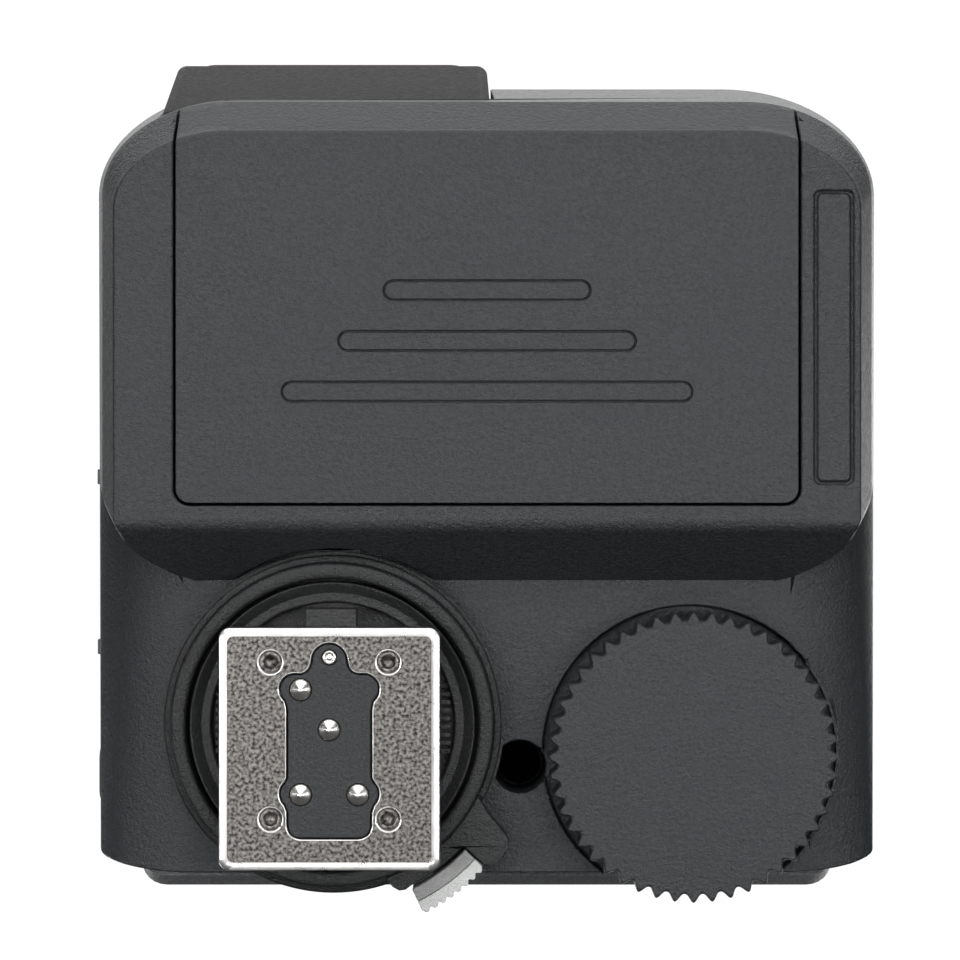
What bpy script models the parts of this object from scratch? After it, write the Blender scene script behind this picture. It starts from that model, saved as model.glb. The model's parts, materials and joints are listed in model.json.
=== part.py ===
"""Wireless flash trigger that slides into a camera's hot shoe, built piece by piece.

Lengths are in millimetres up to the point where a mesh is made, where MM turns them into metres.
The frame: origin at the centre of the hot-shoe foot's lower face, +X to the user's right,
+Y towards the subject, +Z up. The foot points down, the display slopes up away from the user.
"""

import math

import bmesh
import bpy
from mathutils import Matrix, Vector

MM = 0.001
MERGE_DISTANCE = 0.00002
GAP = 0.3  # between pieces that rest on each other
WALL = 1.6  # thickness of the housings

# Foot, to the hot-shoe standard
FOOT_WIDTH = 18.6
FOOT_LENGTH = 20.4
FOOT_THICKNESS = 2.0
FOOT_CORNER = 0.9
CONTACT_PLACES = [(0.0, 1.65), (2.4, 5.0), (2.4, -3.8), (-2.4, -3.8)]
CONTACT_RADIUS = 0.9
CONTACT_TRAVEL = 0.6
LOCK_PIN_PLACE = (0.0, 7.7)
LOCK_PIN_RADIUS = 0.62
FOOT_SCREW_X = 4.95
FOOT_SCREW_YS = (7.3, -5.9)
FOOT_SCREW_RADIUS = 0.97

# Lock ring, turning round the centre contact
RING_CENTRE = (0.0, 1.65)
RING_OUTER = 14.5
RING_INNER = 12.5
RING_LOW = 4.3
RING_HIGH = 7.2
COLLAR_RADIUS = 14.75
RECESS_RADIUS = 15.1

# Thumb wheel
WHEEL_CENTRE = (-30.9, -1.1)
WHEEL_TIP_RADIUS = 12.45
WHEEL_ROOT_RADIUS = 11.72
WHEEL_TEETH = 48
WHEEL_LOW = 4.2
WHEEL_HIGH = 8.2
WHEEL_PAD_RADIUS = 13.05  # flat round pad behind it, where the side fillet would rise
SHAFT_RADIUS = 3.0

# Housings
BODY_X = -13.25  # the body's middle plane, beside the foot's
BODY_REAR = -11.5
BODY_FRONT = 59.0
HUMP_Z = 3.0  # lower face of the battery compartment
HUMP_HALF = 31.85
HUMP_REAR = 13.8
HUMP_FRONT = 52.4
HUMP_CORNER = 8.0
FACE_CORNER = (10.0, 6.8)
LIP_HALF = 33.2
LIP_Y = 55.2
LIP_Z = 7.0
LIP_CORNER = (11.0, 8.0)
FLOOR_Z = 8.5
PARTING_REAR_Z = 13.3
PARTING_FRONT_Z = 26.8
PARTING_REAR_HALF = 34.2
PARTING_FRONT_HALF = 35.85
PARTING_CORNER = (14.0, 10.0)
REAR_CORNER = (8.0, 1.6)
TOP_Z = 46.0
SCREW_WELL = (-16.1, -2.3)
SCREW_WELL_RADIUS = 2.3
SCREW_HEAD_Z = 13.2
SCREW_SEAT_Z = 14.6

# Battery door
DOOR_X = (-39.7, 13.2)
DOOR_REAR = 20.65
DOOR_THICKNESS = 1.5
DOOR_SEAM = 0.3
DOOR_CORNER = 1.2
DOOR_BARS = ((17.3, 38.7), (25.0, 34.4), (34.6, 30.1))  # (length, Y) of the raised grip bars
BAR_WIDTH = 1.4
BAR_GROOVE = 0.22  # width and depth of the groove round each bar

# Empty label frame, engraved beside the door
LABEL_X = (-44.4, -41.0)
LABEL_Y = (22.2, 47.2)
LABEL_LINE = 0.35
LABEL_DEPTH = 0.2

# Display slope: starts at the rear wall and climbs towards the front
SLOPE_ANGLE = math.radians(31.0)
SLOPE_Z = 17.9
PANEL_HALF = 31.3
PANEL_V = (-1.5, 49.0)
PANEL_CORNER = 2.4
PANEL_LOW = 0.3
PANEL_HIGH = 2.5
LCD_U = (-19.0, 27.0)
LCD_V = (17.5, 44.5)

# Pass-through hot shoe on top
SHOE_X = 1.7
SHOE_Y = (35.4, 53.8)
SHOE_SLOT_HALF = 9.4
SHOE_MOUTH_HALF = 6.3
SHOE_FLOOR_Z = 48.0
SHOE_SLOT_HEIGHT = 2.2
SHOE_LIP = 1.2

# Lamp block on the front
BLOCK_X = (-13.7, 15.15)
BLOCK_REAR = 53.2
BLOCK_FRONT = 60.0
BLOCK_LOW = 8.4
BLOCK_FACE_LOW = 18.7
BLOCK_HIGH = 43.5
BLOCK_DRAFT = 0.45
WINDOW_X = (-11.0, 12.5)
WINDOW_Y = (58.8, 60.5)
WINDOW_Z = (21.0, 40.4)

# Side controls, on the user's right
SWITCH_YS = (22.9, 7.5)
SWITCH_TRAVEL = 1.6
PORT_Y = -3.6
PORT_Z = 17.6
PORT_COVER_X = (19.75, 21.3)

# name: (base colour, roughness, metallic)
FINISHES = {
    "charcoal plastic": ((0.062, 0.064, 0.067), 0.62, 0.0),
    "black plastic": ((0.020, 0.021, 0.022), 0.55, 0.0),
    "gloss black": ((0.008, 0.008, 0.009), 0.12, 0.0),
    "light grey plastic": ((0.52, 0.53, 0.53), 0.5, 0.0),
    "nickel plate": ((0.78, 0.77, 0.74), 0.28, 1.0),
    "bright pin": ((0.83, 0.81, 0.76), 0.15, 1.0),
    "steel": ((0.55, 0.55, 0.56), 0.35, 1.0),
    "black steel": ((0.03, 0.03, 0.03), 0.45, 1.0),
    "key rubber": ((0.11, 0.115, 0.12), 0.7, 0.0),
    "cover rubber": ((0.014, 0.014, 0.015), 0.8, 0.0),
    "circuit board": ((0.02, 0.10, 0.05), 0.5, 0.0),
    "display glass": ((0.30, 0.36, 0.30), 0.08, 0.0),
    "cell wrap": ((0.10, 0.12, 0.18), 0.35, 0.0),
    "lamp": ((0.55, 0.05, 0.04), 0.2, 0.0),
}


# ---------------------------------------------------------------- scene and object helpers


def clear_scene():
    for obj in list(bpy.data.objects):
        bpy.data.objects.remove(obj, do_unlink=True)


def make_collection(name):
    collection = bpy.data.collections.new(name)
    bpy.context.scene.collection.children.link(collection)
    return collection


clear_scene()
PARTS = make_collection("wireless_flash_trigger")
CUTTERS = make_collection("cutters")


def make_material(name, finish):
    colour, roughness, metallic = FINISHES[finish]
    material = bpy.data.materials.new(name)
    material.use_nodes = True
    shader = material.node_tree.nodes["Principled BSDF"]
    shader.inputs["Base Color"].default_value = (*colour, 1.0)
    shader.inputs["Roughness"].default_value = roughness
    shader.inputs["Metallic"].default_value = metallic
    return material


def add_object(name, mesh, finish):
    """Links the mesh as a part with a finish, or as a hidden cutter where the finish is None."""
    obj = bpy.data.objects.new(name, mesh)
    if finish is None:
        CUTTERS.objects.link(obj)
        obj.hide_render = True
        obj.display_type = "WIRE"
        return obj
    PARTS.objects.link(obj)
    mesh.materials.append(make_material(name + "_finish", finish))
    mesh.shade_smooth()
    mesh.set_sharp_from_angle(angle=math.radians(35))
    return obj


def finish_bmesh(bm, name, finish, frame=None):
    """Scales a bmesh from millimetres to metres, faces it outwards and makes it an object."""
    if frame is not None:
        bmesh.ops.transform(bm, matrix=frame, verts=bm.verts)
    bmesh.ops.scale(bm, vec=(MM, MM, MM), verts=bm.verts)
    bmesh.ops.recalc_face_normals(bm, faces=bm.faces)
    mesh = bpy.data.meshes.new(name)
    bm.to_mesh(mesh)
    bm.free()
    return add_object(name, mesh, finish)


def set_origin(obj, point):
    """Moves the object's origin to a point, leaving the shape where it is."""
    place = Vector(point) * MM
    obj.data.transform(Matrix.Translation(-place))
    obj.location = place


def carve(target, cutter, operation="DIFFERENCE"):
    modifier = target.modifiers.new(cutter.name, "BOOLEAN")
    modifier.object = cutter
    modifier.operation = operation
    return target


def join(target, other):
    return carve(target, other, "UNION")


def soften(obj, width, segments=2, angle=35.0):
    bevel = obj.modifiers.new("Bevel", "BEVEL")
    bevel.width = width * MM
    bevel.segments = segments
    bevel.limit_method = "ANGLE"
    bevel.angle_limit = math.radians(angle)
    return obj


# ---------------------------------------------------------------- outlines


def arc(centre, radii, start, end, steps):
    """Points from angle start to end, in degrees, on a circle or an ellipse."""
    rx, ry = radii if isinstance(radii, tuple) else (radii, radii)
    points = []
    for i in range(steps + 1):
        a = math.radians(start + (end - start) * i / steps)
        points.append((centre[0] + rx * math.cos(a), centre[1] + ry * math.sin(a)))
    return points


def rounded_rectangle(x, y, radius, steps=5):
    (x0, x1), (y0, y1) = x, y
    corners = [
        ((x1 - radius, y1 - radius), 0),
        ((x0 + radius, y1 - radius), 90),
        ((x0 + radius, y0 + radius), 180),
        ((x1 - radius, y0 + radius), 270),
    ]
    points = []
    for centre, start in corners:
        points += arc(centre, radius, start, start + 90, steps)
    return points


def insulator_outline(inset):
    """The contact insert's outline: a round nose for the lock pin and four rounded lobes."""
    waist = 3.56 - inset
    nose = 1.5 - inset
    lobe = 1.3 - inset
    half = arc((0.0, 7.4), nose, 90, 0, 6)
    half += arc((2.55, 7.33), 1.0 + inset, 190, 265, 4)
    half += arc((2.9, 5.05), lobe, 90, -50, 6)
    half += [(waist, 3.3), (waist, -2.4)]
    half += arc((2.92, -3.75), lobe - 0.03, 48, -48, 5)
    half += [(waist, -5.3)]
    half += arc((2.42, -6.4), 1.12 - inset, 0, -90, 5)
    left = [(-x, y) for x, y in reversed(half[1:])]
    return half + left


def wheel_outline():
    """Round teeth and valleys: a cosine between the root and the tip radius."""
    depth = WHEEL_TIP_RADIUS - WHEEL_ROOT_RADIUS
    steps = 6
    points = []
    for i in range(WHEEL_TEETH * steps):
        phase = 2 * math.pi * i / steps
        height = (1 + math.cos(phase)) / 2
        radius = WHEEL_ROOT_RADIUS + depth * height
        turn = 2 * math.pi * i / (WHEEL_TEETH * steps)
        points.append((radius * math.cos(turn), radius * math.sin(turn)))
    return points


def polar(radius, degrees):
    """A point round the lock ring: degrees run from the wheel's side towards the user."""
    a = math.radians(180 + degrees)
    return (RING_CENTRE[0] + radius * math.cos(a), RING_CENTRE[1] + radius * math.sin(a))


# ---------------------------------------------------------------- solids


def box(name, x, y, z, finish=None, frame=None):
    bm = bmesh.new()
    bmesh.ops.create_cube(bm, size=1.0)
    size = (x[1] - x[0], y[1] - y[0], z[1] - z[0])
    middle = Vector((x[0] + x[1], y[0] + y[1], z[0] + z[1])) / 2
    bmesh.ops.scale(bm, vec=size, verts=bm.verts)
    bmesh.ops.translate(bm, vec=middle, verts=bm.verts)
    return finish_bmesh(bm, name, finish, frame)


def cone(name, centre, radii, z, finish=None, frame=None, sides=32):
    """A cylinder or cone along +Z, from z[0] with radii[0] to z[1] with radii[1]."""
    bm = bmesh.new()
    bmesh.ops.create_cone(
        bm, cap_ends=True, segments=sides, radius1=radii[0], radius2=radii[1], depth=z[1] - z[0]
    )
    bmesh.ops.translate(bm, vec=(centre[0], centre[1], (z[0] + z[1]) / 2), verts=bm.verts)
    return finish_bmesh(bm, name, finish, frame)


def cylinder(name, centre, radius, z, finish=None, frame=None, sides=32):
    return cone(name, centre, (radius, radius), z, finish, frame, sides)


def plate(name, outlines, z, finish=None, frame=None):
    """A flat outline, with any holes, between two heights."""
    curve = bpy.data.curves.new(name, "CURVE")
    curve.dimensions = "2D"
    curve.fill_mode = "BOTH"
    curve.extrude = (z[1] - z[0]) / 2
    for outline in outlines:
        spline = curve.splines.new("POLY")
        spline.points.add(len(outline) - 1)
        for point, (x, y) in zip(spline.points, outline):
            point.co = (x, y, 0.0, 1.0)
        spline.use_cyclic_u = True
    guide = bpy.data.objects.new(name + "_guide", curve)
    CUTTERS.objects.link(guide)
    evaluated = guide.evaluated_get(bpy.context.evaluated_depsgraph_get())
    mesh = bpy.data.meshes.new_from_object(evaluated)
    bpy.data.objects.remove(guide, do_unlink=True)
    bm = bmesh.new()
    bm.from_mesh(mesh)
    bpy.data.meshes.remove(mesh)
    bmesh.ops.remove_doubles(bm, verts=bm.verts, dist=0.001)
    bmesh.ops.translate(bm, vec=(0, 0, (z[0] + z[1]) / 2), verts=bm.verts)
    return finish_bmesh(bm, name, finish, frame)


def turned(name, centre, profile, finish=None, steps=48, closed=False):
    """A profile of (radius, height) turned about a vertical axis, its outer side top to bottom."""
    bm = bmesh.new()
    verts = [bm.verts.new((r * MM, 0.0, z * MM)) for r, z in profile]
    pairs = list(zip(verts, verts[1:]))
    if closed:
        pairs.append((verts[-1], verts[0]))
    for a, b in pairs:
        bm.edges.new((a, b))
    mesh = bpy.data.meshes.new(name)
    bm.to_mesh(mesh)
    bm.free()
    obj = add_object(name, mesh, finish)
    obj.location = (centre[0] * MM, centre[1] * MM, 0.0)
    screw = obj.modifiers.new("Screw", "SCREW")
    screw.steps = steps
    screw.render_steps = steps
    screw.use_merge_vertices = True
    screw.merge_threshold = MERGE_DISTANCE
    weld = obj.modifiers.new("Weld", "WELD")
    weld.merge_threshold = MERGE_DISTANCE
    return obj


def loft(name, loops, finish=None):
    """Skins a row of loops with equal point counts in triangles and closes both ends."""
    bm = bmesh.new()
    rings = [[bm.verts.new(p) for p in loop] for loop in loops]
    count = len(rings[0])
    for low, high in zip(rings, rings[1:]):
        for i in range(count):
            j = (i + 1) % count
            bm.faces.new((low[i], low[j], high[j]))
            bm.faces.new((low[i], high[j], high[i]))
    bm.faces.new(rings[0])
    bm.faces.new(rings[-1])
    return finish_bmesh(bm, name, finish)


def coil(name, centre, radius, wire, x, turns, finish):
    """A round wire spring along X."""
    points_per_turn = 12
    count = turns * points_per_turn + 1
    curve = bpy.data.curves.new(name, "CURVE")
    curve.dimensions = "3D"
    curve.bevel_depth = wire * MM
    curve.bevel_resolution = 1
    curve.use_fill_caps = True
    spline = curve.splines.new("POLY")
    spline.points.add(count - 1)
    for i, point in enumerate(spline.points):
        a = 2 * math.pi * i / points_per_turn
        along = x[0] + (x[1] - x[0]) * i / (count - 1)
        y = centre[0] + radius * math.cos(a)
        z = centre[1] + radius * math.sin(a)
        point.co = (along * MM, y * MM, z * MM, 1.0)
    guide = bpy.data.objects.new(name + "_guide", curve)
    CUTTERS.objects.link(guide)
    evaluated = guide.evaluated_get(bpy.context.evaluated_depsgraph_get())
    mesh = bpy.data.meshes.new_from_object(evaluated)
    bpy.data.objects.remove(guide, do_unlink=True)
    bm = bmesh.new()
    bm.from_mesh(mesh)
    bmesh.ops.remove_doubles(bm, verts=bm.verts, dist=MERGE_DISTANCE / 4)
    bmesh.ops.recalc_face_normals(bm, faces=bm.faces)
    bm.to_mesh(mesh)
    bm.free()
    mesh.name = name
    return add_object(name, mesh, finish)


# ---------------------------------------------------------------- the housings' shape


def parting_height(y):
    climb = (PARTING_FRONT_Z - PARTING_REAR_Z) / (BODY_FRONT - BODY_REAR)
    return PARTING_REAR_Z + climb * (y - BODY_REAR)


def body_loop(halves, front, front_radii, height, inset=0.0, rear=BODY_REAR):
    """One horizontal section of the body: halves are its half widths at the rear and the front."""
    rear_half, front_half = halves[0] - inset, halves[1] - inset
    rx, ry = front_radii[0] - inset, front_radii[1] - inset
    rear_rx, rear_ry = REAR_CORNER
    y0, y1 = rear + inset, front - inset
    half = arc((rear_half - rear_rx, y0 + rear_ry), (rear_rx, rear_ry), -90, 0, 6)
    half += arc((front_half - rx, y1 - ry), (rx, ry), 0, 90, 10)
    outline = half + [(-x, y) for x, y in reversed(half)]
    level = height if callable(height) else (lambda y: height)
    return [(BODY_X + x, y, level(y)) for x, y in outline]


def lower_blank(name, inset, lift):
    """The lower body before its rear half is thinned, up to the parting plane plus lift."""
    edge = 0.35 if inset == 0 else 0.0
    base = HUMP_Z + inset
    face = (HUMP_HALF, HUMP_HALF)
    lip = (LIP_HALF, LIP_HALF)
    parting = (PARTING_REAR_HALF, PARTING_FRONT_HALF)
    loops = [body_loop(face, HUMP_FRONT + 0.5 * inset, FACE_CORNER, base, inset + edge)]
    if edge:
        loops.append(body_loop(face, HUMP_FRONT, FACE_CORNER, base + edge, inset))
    loops.append(body_loop(lip, LIP_Y, LIP_CORNER, LIP_Z + 0.3 * inset, inset))
    loops.append(
        body_loop(parting, BODY_FRONT, PARTING_CORNER, lambda y: parting_height(y) + lift, inset)
    )
    return loft(name, loops)


def rear_core(name, inset):
    """What stays of the thin rear half: a flat floor with wide elliptical side fillets."""
    loops = []
    for y in (BODY_REAR - 18.0, BODY_REAR + 52.0):
        along = (y - BODY_REAR) / (BODY_FRONT - BODY_REAR)
        half = PARTING_REAR_HALF + (PARTING_FRONT_HALF - PARTING_REAR_HALF) * along
        side = half + 0.35 - inset
        rise = parting_height(y) + 0.4 - FLOOR_Z
        floor = FLOOR_Z + inset
        right = arc((side - 9.7, floor + rise), (9.7, rise), -90, 0, 9)
        right.append((side, 45.0))
        section = right + [(-x, z) for x, z in reversed(right)]
        loops.append([(BODY_X + x, y, z) for x, z in section])
    return loft(name, loops)


def hump_core(name, inset):
    """What stays of the battery hump: its rounded plan with the sloping rear face taken off."""
    half = HUMP_HALF + 0.35 - inset
    rear = HUMP_REAR + inset

    def loop(z, grow):
        x = (BODY_X - half - grow, BODY_X + half + grow)
        outline = rounded_rectangle(x, (rear, 75.0), HUMP_CORNER, 8)
        return [(px, py, z) for px, py in outline]

    core = loft(name, [loop(-6.0, -1.0), loop(HUMP_Z, 0.0), loop(LIP_Z, 1.4), loop(20.0, 3.8)])
    shift = inset * math.sqrt(2)
    edge_y = HUMP_REAR + FLOOR_Z - HUMP_Z + shift
    edge_z = HUMP_Z
    rounding = 4.0
    centre = (edge_y + rounding * math.tan(math.radians(22.5)) - inset * 0.41, edge_z + inset + rounding)
    edge = arc(centre, rounding, -90, -135, 5)
    profile = [(80.0, edge[0][1]), *edge]
    reach = 40.0
    profile.append((edge[-1][0] - reach, edge[-1][1] + reach))
    profile += [(-80.0, edge[-1][1] + reach), (-80.0, -40.0), (80.0, -40.0)]
    bm = bmesh.new()
    face = bm.faces.new([bm.verts.new((-90.0, y, z)) for y, z in profile])
    side = bmesh.ops.extrude_face_region(bm, geom=[face])
    moved = [v for v in side["geom"] if isinstance(v, bmesh.types.BMVert)]
    bmesh.ops.translate(bm, vec=(150.0, 0.0, 0.0), verts=moved)
    wedge = finish_bmesh(bm, name + "_wedge", None)
    return carve(core, wedge)


def lower_solid(name, inset, lift):
    """The lower body's outer shape, or with an inset and a lift the hollow inside it."""
    body = lower_blank(name, inset, lift)
    waste = box(name + "_waste", (-70.0, 45.0), (-25.0, 30.0), (-5.0, 24.0))
    carve(waste, rear_core(name + "_rear", inset))
    carve(waste, hump_core(name + "_hump", inset))
    pad_z = (FLOOR_Z + GAP + inset, PARTING_REAR_Z)
    carve(waste, cylinder(name + "_pad", WHEEL_CENTRE, WHEEL_PAD_RADIUS - inset, pad_z, sides=48))
    return carve(body, waste)


def upper_solid(name, inset, drop):
    """The upper body's outer shape, or with an inset and a drop the hollow inside it."""
    parting = (PARTING_REAR_HALF, PARTING_FRONT_HALF)
    seam = 0.25
    loops = [
        body_loop(parting, BODY_FRONT, PARTING_CORNER, lambda y: parting_height(y) + seam - drop, inset),
        body_loop((33.8, 34.9), 57.6, (13.2, 9.6), 38.0, inset),
        body_loop((33.2, 34.3), 57.0, (12.8, 9.3), TOP_Z - 2.2 - inset, inset),
        body_loop((32.6, 33.7), 56.4, (12.4, 9.0), TOP_Z - 0.9 - inset, inset),
        body_loop((31.4, 32.5), 55.2, (11.6, 8.4), TOP_Z - 0.15 - inset, inset),
        body_loop((30.2, 31.3), 54.0, (10.8, 7.8), TOP_Z - inset, inset),
    ]
    body = loft(name, loops)
    above = box(name + "_above", (-60.0, 60.0), (-30.0, 90.0), (-inset, 60.0), None, slope_frame())
    return carve(body, above)


def slope_frame():
    """Maps (across, up the slope, out of it) to the device's frame."""
    place = Matrix.Translation((BODY_X, BODY_REAR, SLOPE_Z))
    return place @ Matrix.Rotation(SLOPE_ANGLE, 4, "X")


def side_frame(y, z, x):
    """Maps local +Z to +X and local XY to the device's (Y, Z), at a place on the right side."""
    axes = Matrix(((0, 0, 1, x), (1, 0, 0, y), (0, 1, 0, z), (0, 0, 0, 1)))
    return axes


# ---------------------------------------------------------------- housings and door


def block_profile(grow):
    """The lamp block from the side, as (Y, Z): a ramp below and an upright face."""
    return [
        (BLOCK_REAR - grow, BLOCK_LOW - grow),
        (54.5 + 0.4 * grow, BLOCK_LOW - grow),
        (BLOCK_FRONT + grow, BLOCK_FACE_LOW - 0.4 * grow),
        (BLOCK_FRONT + grow, BLOCK_HIGH - 1.5),
        (BLOCK_FRONT - 3.2 + grow, BLOCK_HIGH + grow),
        (BLOCK_REAR - grow, BLOCK_HIGH + grow),
    ]


def block_solid(name, grow, finish=None):
    """The lamp block, drawn in slightly towards its front."""
    profile = block_profile(grow)
    loops = []
    for x, sign in zip(BLOCK_X, (-1, 1)):
        loop = []
        for y, z in profile:
            along = (y - BLOCK_REAR) / (BLOCK_FRONT - BLOCK_REAR)
            loop.append((x + sign * (grow - BLOCK_DRAFT * along), y, z))
        loops.append(loop)
    return loft(name, loops, finish)


def door_outline(grow):
    """The battery door's plan, rounded at the rear and running out past the front."""
    x0, x1 = DOOR_X[0] - grow, DOOR_X[1] + grow
    y = DOOR_REAR - grow
    r = DOOR_CORNER + grow
    outline = arc((x0 + r, y + r), r, 180, 270, 4)
    outline += arc((x1 - r, y + r), r, 270, 360, 4)
    return outline + [(x1, 75.0), (x0, 75.0)]


def bar_outline(length, y, width):
    """A bar with round ends, centred on the door."""
    middle = sum(DOOR_X) / 2
    r = width / 2
    reach = length / 2 - BAR_WIDTH / 2
    outline = arc((middle + reach, y), r, -90, 90, 6)
    return outline + arc((middle - reach, y), r, 90, 270, 6)


def make_bottom_housing():
    shell = lower_solid("bottom_shape", 0.0, 0.0)
    hollow = lower_solid("bottom_hollow", WALL, 4.0)
    opening = plate("door_opening", [door_outline(DOOR_SEAM)], (-1.0, LIP_Z + 0.4))
    recess = cylinder("ring_recess", RING_CENTRE, RECESS_RADIUS, (-5.0, FLOOR_Z), sides=64)
    neck = cylinder("neck_hole", RING_CENTRE, 7.8, (FLOOR_Z - 2.0, FLOOR_Z + 4.0), sides=48)
    shaft = cylinder("shaft_hole", WHEEL_CENTRE, SHAFT_RADIUS + 0.4, (5.0, 14.0))
    boss = cylinder("screw_boss", SCREW_WELL, SCREW_WELL_RADIUS + 1.0, (9.0, SCREW_SEAT_Z + 1.5))
    well = cylinder("well_hole", SCREW_WELL, SCREW_WELL_RADIUS, (5.0, SCREW_SEAT_Z + GAP), sides=48)
    shank = cylinder("shank_hole", SCREW_WELL, 0.9 + GAP, (10.0, 20.0), sides=16)
    front = block_solid("block_opening_low", GAP)
    frame_line = [label_outline(0.0), label_outline(LABEL_LINE)]
    label = plate("label_groove", frame_line, (0.0, HUMP_Z + LABEL_DEPTH))
    housing = box("bottom_housing", (-60.0, 35.0), (-20.0, 70.0), (-2.0, 40.0), "charcoal plastic")
    carve(housing, shell, "INTERSECT")
    carve(housing, hollow)
    join(housing, boss)
    for cutter in (opening, recess, neck, shaft, well, shank, front, label):
        carve(housing, cutter)
    return housing


def label_outline(inset):
    """The empty label frame's rounded outline."""
    x = (LABEL_X[0] + inset, LABEL_X[1] - inset)
    y = (LABEL_Y[0] + inset, LABEL_Y[1] - inset)
    return rounded_rectangle(x, y, 0.6 - 0.5 * inset, 3)


def switch_slot(y):
    z = switch_height(y)
    return box(
        f"switch_slot_{y:.0f}",
        (17.0, 26.0),
        (y - 0.7 - GAP, y + 0.7 + SWITCH_TRAVEL + GAP),
        (z - 0.8 - GAP, z + 0.8 + GAP),
    )


def switch_height(y):
    return parting_height(y) + 3.4


def make_top_housing():
    shell = upper_solid("top_shape", 0.0, 0.0)
    hollow = upper_solid("top_hollow", WALL, 4.0)
    window = box("display_opening", (-29.6, 29.6), (2.0, 46.8), (-6.0, 4.0), None, slope_frame())
    front = block_solid("block_opening_high", GAP)
    wires = cylinder("shoe_wire_hole", (SHOE_X, sum(SHOE_Y) / 2), 2.0, (TOP_Z - 4.0, TOP_Z + 2.0))
    port = plate(
        "port_opening",
        [rounded_rectangle((-2.6, 2.6), (-2.6, 2.6), 1.2)],
        (-4.0, 4.0),
        None,
        side_frame(PORT_Y, PORT_Z, 21.5),
    )
    housing = box("top_housing", (-60.0, 35.0), (-20.0, 70.0), (5.0, 60.0), "charcoal plastic")
    carve(housing, shell, "INTERSECT")
    cutters = [hollow, window, front, wires, port]
    cutters += [switch_slot(y) for y in SWITCH_YS]
    for cutter in cutters:
        carve(housing, cutter)
    return housing


def make_battery_door():
    """The sliding cover: the lower body's own skin inside the door's outline."""
    door = plate("battery_door", [door_outline(0.0)], (-1.0, LIP_Z), "charcoal plastic")
    carve(door, lower_blank("door_face", 0.0, 0.0), "INTERSECT")
    carve(door, lower_blank("door_inside", DOOR_THICKNESS, 0.0))
    for length, y in DOOR_BARS:
        outlines = [
            bar_outline(length, y, BAR_WIDTH + 2 * BAR_GROOVE),
            bar_outline(length, y, BAR_WIDTH),
        ]
        depth = (HUMP_Z - 1.0, HUMP_Z + BAR_GROOVE)
        carve(door, plate(f"bar_groove_{length:.0f}", outlines, depth))
    return door


def make_af_housing():
    block = block_solid("af_housing", 0.0, "charcoal plastic")
    soften(block, 2.6, 4)
    inside = (WINDOW_X[0] - 0.4, WINDOW_X[1] + 0.4)
    hollow_z = (WINDOW_Z[0] - 1.0, WINDOW_Z[1] + 0.6)
    carve(block, box("block_hollow", inside, (50.0, 58.3), hollow_z))
    rim = 0.25
    opening_x = (WINDOW_X[0] - rim, WINDOW_X[1] + rim)
    opening_z = (WINDOW_Z[0] - rim, WINDOW_Z[1] + rim)
    carve(block, box("window_opening", opening_x, (57.0, 64.0), opening_z))
    return block


def make_af_lamp():
    box("af_window", WINDOW_X, WINDOW_Y, WINDOW_Z, "gloss black")
    frame = Matrix.Translation((SHOE_X, 54.0, 32.0)) @ Matrix.Rotation(math.radians(-90), 4, "X")
    cone("af_lamp", (0, 0), (2.6, 2.0), (0.0, 4.2), "lamp", frame, 24)


# ---------------------------------------------------------------- foot, contacts and lock


def make_foot_plate():
    outer = rounded_rectangle(
        (-FOOT_WIDTH / 2, FOOT_WIDTH / 2), (-FOOT_LENGTH / 2, FOOT_LENGTH / 2), FOOT_CORNER, 4
    )
    foot = plate("foot_plate", [outer, insulator_outline(0.0)], (0.0, FOOT_THICKNESS), "nickel plate")
    for name, x, y in foot_screw_places():
        sink = cone(name + "_sink", (x, y), (FOOT_SCREW_RADIUS + 0.1, 0.75), (-0.01, 1.2), sides=16)
        bore = cylinder(name + "_bore", (x, y), 0.75, (1.0, 3.0), sides=12)
        carve(foot, sink)
        carve(foot, bore)
    return foot


def foot_screw_places():
    places = []
    for x in (FOOT_SCREW_X, -FOOT_SCREW_X):
        for y in FOOT_SCREW_YS:
            places.append((f"foot_screw_{len(places) + 1}", x, y))
    return places


def make_foot_screws():
    for name, x, y in foot_screw_places():
        head, shank, tip = 0.9, 0.55, 7.6
        profile = [(0.0, tip), (shank, tip), (shank, 1.2), (head, 0.2), (0.0, 0.2)]
        screw = turned(name, (x, y), profile, "steel", 14)
        for turn in (0, 90):
            spin = Matrix.Translation((x, y, 0.2)) @ Matrix.Rotation(math.radians(turn + 20), 4, "Z")
            size = (-0.6, 0.6), (-0.13, 0.13)
            slot = box(f"{name}_slot_{turn}", *size, (-0.3, 0.45), None, spin)
            carve(screw, slot)


def make_foot_insulator():
    seam = 0.1
    insert = plate("foot_insulator", [insulator_outline(seam)], (0.0, 2.1), "black plastic")
    for i, place in enumerate(CONTACT_PLACES):
        bore = cylinder(f"insert_bore_{i}", place, CONTACT_RADIUS + 0.14, (-1.0, 3.0), sides=16)
        carve(insert, bore)
    carve(insert, cylinder("insert_lock_bore", LOCK_PIN_PLACE, 0.8, (-1.0, 3.0), sides=14))


def make_contact_pins():
    for i, place in enumerate(CONTACT_PLACES):
        r = CONTACT_RADIUS
        dome = [(r * math.sin(a), -CONTACT_TRAVEL * math.cos(a)) for a in (1.1, 0.7, 0.35)]
        profile = [(0.0, 6.0), (0.5, 6.0), (0.5, 3.6), (1.2, 3.6), (1.2, 2.5), (r, 2.5), (r, 0.0)]
        profile += dome
        profile.append((0.0, -CONTACT_TRAVEL))
        turned(f"contact_pin_{i + 1}", place, profile, "bright pin", 16)


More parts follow.
